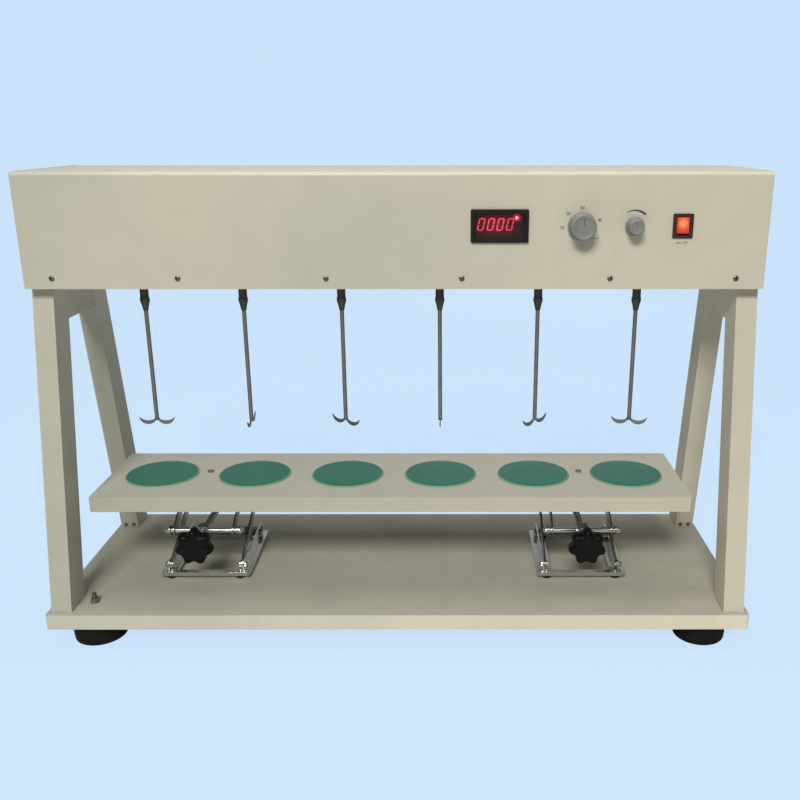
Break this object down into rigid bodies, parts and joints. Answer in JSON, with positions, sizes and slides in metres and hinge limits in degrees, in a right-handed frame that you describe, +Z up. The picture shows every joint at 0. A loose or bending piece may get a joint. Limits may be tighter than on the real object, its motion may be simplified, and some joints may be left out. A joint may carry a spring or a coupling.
{
  "type": "jar test stirrer",
  "caption": "Bench stirrer for jar tests: a drive head with hanging paddle stirrers on A-shaped side frames, over a beaker platform raised by scissor jacks.",
  "frame": {"origin": "middle of the footprint on the bench, under the feet", "axes": "+X right along the row of stirrers, +Y back, +Z up; the panel faces -Y"},
  "size_m": [0.972, 0.336, 0.646],
  "materials": {
    "cream_paint": "satin cream enamel",
    "black_rubber": "moulded black rubber",
    "zinc_screws": "zinc-plated steel",
    "cast_aluminium": "turned aluminium",
    "motor_paint": "dark enamel",
    "belt_rubber": "belt rubber",
    "circuit_board": "green laminate with parts",
    "black_plastic": "black moulded plastic",
    "red_window": "dark red filter",
    "grey_plastic": "grey moulded plastic",
    "red_rocker": "lit red plastic",
    "green_pads": "green plastic sheet",
    "chrome_jack": "chromed and stainless steel",
    "dark_chuck": "blackened steel",
    "stirrer_steel": "stainless steel",
    "black_knob": "black bakelite"
  },
  "bodies": {
    "frame": {"base_tray": "cream_paint", "rubber_feet": "black_rubber", "left_side_frame": "cream_paint", "right_side_frame": "cream_paint", "frame_screws": "zinc_screws", "head_cover": "cream_paint", "head_chassis": "cream_paint", "cover_screws": "zinc_screws", "bearing_housings": "cast_aluminium", "motor": "motor_paint", "drive_belts": "belt_rubber", "control_board": "circuit_board", "display_meter": "black_plastic", "display_window": "red_window", "panel_controls": "zinc_screws", "switch_housing": "black_plastic", "cord_gland": "black_plastic", "jack_bases": "chrome_jack"},
    "platform": {"platform_tray": "cream_paint", "station_pads": "green_pads", "platform_screws": "zinc_screws", "jack_top_plates": "chrome_jack"},
    "motor_rotor": {"motor_pulley": "zinc_screws"},
    "stirrer_1": {"spindle_1": "zinc_screws", "chuck_1": "dark_chuck", "stirrer_1": "stirrer_steel"},
    "stirrer_2": {"spindle_2": "zinc_screws", "chuck_2": "dark_chuck", "stirrer_2": "stirrer_steel"},
    "stirrer_3": {"spindle_3": "zinc_screws", "chuck_3": "dark_chuck", "stirrer_3": "stirrer_steel"},
    "stirrer_4": {"spindle_4": "zinc_screws", "chuck_4": "dark_chuck", "stirrer_4": "stirrer_steel"},
    "stirrer_5": {"spindle_5": "zinc_screws", "chuck_5": "dark_chuck", "stirrer_5": "stirrer_steel"},
    "stirrer_6": {"spindle_6": "zinc_screws", "chuck_6": "dark_chuck", "stirrer_6": "stirrer_steel"},
    "timer_knob": {"timer_knob": "grey_plastic"},
    "speed_knob": {"speed_knob": "grey_plastic"},
    "switch_rocker": {"switch_rocker": "red_rocker"},
    "left_lower_arms_a": {"left_lower_arms_a": "chrome_jack"},
    "left_lower_arms_b": {"left_lower_arms_b": "chrome_jack"},
    "left_upper_arms_a": {"left_upper_arms_a": "chrome_jack"},
    "left_upper_arms_b": {"left_upper_arms_b": "chrome_jack"},
    "left_front_bar": {"left_front_bar": "chrome_jack"},
    "left_nut_bar": {"left_nut_bar": "chrome_jack"},
    "left_lead_screw": {"left_lead_screw": "chrome_jack", "left_star_knob": "black_knob"},
    "right_lower_arms_a": {"right_lower_arms_a": "chrome_jack"},
    "right_lower_arms_b": {"right_lower_arms_b": "chrome_jack"},
    "right_upper_arms_a": {"right_upper_arms_a": "chrome_jack"},
    "right_upper_arms_b": {"right_upper_arms_b": "chrome_jack"},
    "right_front_bar": {"right_front_bar": "chrome_jack"},
    "right_nut_bar": {"right_nut_bar": "chrome_jack"},
    "right_lead_screw": {"right_lead_screw": "chrome_jack", "right_star_knob": "black_knob"}
  },
  "joints": [
    {"name": "platform_lift", "type": "slide", "parent": "frame", "child": "platform", "axis": [0, 0, 1], "range_m": [-0.075, 0.015]},
    {"name": "left_lower_a", "type": "hinge", "parent": "frame", "child": "left_lower_arms_a", "pos_m": [-0.292, -0.049, 0.073], "axis": [1, 0, 0], "range_deg": [-18.95, 4.27]},
    {"name": "left_lower_b", "type": "hinge", "parent": "left_lower_arms_a", "child": "left_lower_arms_b", "pos_m": [-0.292, 0.00644, 0.10075], "axis": [1, 0, 0], "range_deg": [-7.94, 37.3]},
    {"name": "left_upper_a", "type": "hinge", "parent": "left_lower_arms_a", "child": "left_upper_arms_a", "pos_m": [-0.292, 0.06189, 0.1285], "axis": [1, 0, 0], "range_deg": [-7.94, 37.3]},
    {"name": "left_upper_b", "type": "hinge", "parent": "left_upper_arms_a", "child": "left_upper_arms_b", "pos_m": [-0.292, 0.00644, 0.15625], "axis": [1, 0, 0], "range_deg": [-37.3, 7.94]},
    {"name": "left_front_bar_level", "type": "hinge", "parent": "left_lower_arms_b", "child": "left_front_bar", "pos_m": [-0.292, -0.049, 0.1285], "axis": [1, 0, 0], "range_deg": [-18.95, 4.27]},
    {"name": "left_nut_bar_level", "type": "hinge", "parent": "left_lower_arms_a", "child": "left_nut_bar", "pos_m": [-0.292, 0.06189, 0.1285], "axis": [1, 0, 0], "range_deg": [-4.27, 18.95]},
    {"name": "left_screw_turn", "type": "hinge", "parent": "left_front_bar", "child": "left_lead_screw", "pos_m": [-0.292, -0.049, 0.1285], "axis": [0, 1, 0], "range_deg": [-1560, 325]},
    {"name": "right_lower_a", "type": "hinge", "parent": "frame", "child": "right_lower_arms_a", "pos_m": [0.268, -0.049, 0.073], "axis": [1, 0, 0], "range_deg": [-18.95, 4.27]},
    {"name": "right_lower_b", "type": "hinge", "parent": "right_lower_arms_a", "child": "right_lower_arms_b", "pos_m": [0.268, 0.00644, 0.10075], "axis": [1, 0, 0], "range_deg": [-7.94, 37.3]},
    {"name": "right_upper_a", "type": "hinge", "parent": "right_lower_arms_a", "child": "right_upper_arms_a", "pos_m": [0.268, 0.06189, 0.1285], "axis": [1, 0, 0], "range_deg": [-7.94, 37.3]},
    {"name": "right_upper_b", "type": "hinge", "parent": "right_upper_arms_a", "child": "right_upper_arms_b", "pos_m": [0.268, 0.00644, 0.15625], "axis": [1, 0, 0], "range_deg": [-37.3, 7.94]},
    {"name": "right_front_bar_level", "type": "hinge", "parent": "right_lower_arms_b", "child": "right_front_bar", "pos_m": [0.268, -0.049, 0.1285], "axis": [1, 0, 0], "range_deg": [-18.95, 4.27]},
    {"name": "right_nut_bar_level", "type": "hinge", "parent": "right_lower_arms_a", "child": "right_nut_bar", "pos_m": [0.268, 0.06189, 0.1285], "axis": [1, 0, 0], "range_deg": [-4.27, 18.95]},
    {"name": "right_screw_turn", "type": "hinge", "parent": "right_front_bar", "child": "right_lead_screw", "pos_m": [0.268, -0.049, 0.1285], "axis": [0, 1, 0], "range_deg": [-1560, 325]},
    {"name": "stirrer_1_spin", "type": "hinge", "parent": "frame", "child": "stirrer_1", "pos_m": [-0.362, 0, 0.498], "axis": [0, 0, 1], "continuous": true},
    {"name": "stirrer_2_spin", "type": "hinge", "parent": "frame", "child": "stirrer_2", "pos_m": [-0.222, 0, 0.498], "axis": [0, 0, 1], "continuous": true},
    {"name": "stirrer_3_spin", "type": "hinge", "parent": "frame", "child": "stirrer_3", "pos_m": [-0.082, 0, 0.498], "axis": [0, 0, 1], "continuous": true},
    {"name": "stirrer_4_spin", "type": "hinge", "parent": "frame", "child": "stirrer_4", "pos_m": [0.058, 0, 0.498], "axis": [0, 0, 1], "continuous": true},
    {"name": "stirrer_5_spin", "type": "hinge", "parent": "frame", "child": "stirrer_5", "pos_m": [0.198, 0, 0.498], "axis": [0, 0, 1], "continuous": true},
    {"name": "stirrer_6_spin", "type": "hinge", "parent": "frame", "child": "stirrer_6", "pos_m": [0.338, 0, 0.498], "axis": [0, 0, 1], "continuous": true},
    {"name": "motor_spin", "type": "hinge", "parent": "frame", "child": "motor_rotor", "pos_m": [-0.012, 0.0616, 0.498], "axis": [0, 0, 1], "continuous": true},
    {"name": "timer_turn", "type": "hinge", "parent": "frame", "child": "timer_knob", "pos_m": [0.2405, -0.105, 0.579], "axis": [0, 1, 0], "range_deg": [0, 300]},
    {"name": "speed_turn", "type": "hinge", "parent": "frame", "child": "speed_knob", "pos_m": [0.3075, -0.105, 0.579], "axis": [0, 1, 0], "range_deg": [0, 270]},
    {"name": "switch_rock", "type": "hinge", "parent": "frame", "child": "switch_rocker", "pos_m": [0.3695, -0.101, 0.579], "axis": [1, 0, 0], "range_deg": [0, 14]}
  ],
  "couplings": [
    {"joint": "left_lower_a", "follows": "platform_lift", "rad_per_m": 4.27},
    {"joint": "left_lower_b", "follows": "platform_lift", "rad_per_m": -8.54},
    {"joint": "left_upper_a", "follows": "platform_lift", "rad_per_m": -8.54},
    {"joint": "left_upper_b", "follows": "platform_lift", "rad_per_m": 8.54},
    {"joint": "left_front_bar_level", "follows": "platform_lift", "rad_per_m": 4.27},
    {"joint": "left_nut_bar_level", "follows": "platform_lift", "rad_per_m": -4.27},
    {"joint": "left_screw_turn", "follows": "platform_lift", "rad_per_m": 358},
    {"joint": "right_lower_a", "follows": "platform_lift", "rad_per_m": 4.27},
    {"joint": "right_lower_b", "follows": "platform_lift", "rad_per_m": -8.54},
    {"joint": "right_upper_a", "follows": "platform_lift", "rad_per_m": -8.54},
    {"joint": "right_upper_b", "follows": "platform_lift", "rad_per_m": 8.54},
    {"joint": "right_front_bar_level", "follows": "platform_lift", "rad_per_m": 4.27},
    {"joint": "right_nut_bar_level", "follows": "platform_lift", "rad_per_m": -4.27},
    {"joint": "right_screw_turn", "follows": "platform_lift", "rad_per_m": 358},
    {"joint": "stirrer_2_spin", "follows": "stirrer_1_spin", "ratio": 1},
    {"joint": "stirrer_3_spin", "follows": "stirrer_1_spin", "ratio": 1},
    {"joint": "stirrer_4_spin", "follows": "stirrer_1_spin", "ratio": 1},
    {"joint": "stirrer_5_spin", "follows": "stirrer_1_spin", "ratio": 1},
    {"joint": "stirrer_6_spin", "follows": "stirrer_1_spin", "ratio": 1},
    {"joint": "motor_spin", "follows": "stirrer_1_spin", "ratio": 2}
  ]
}
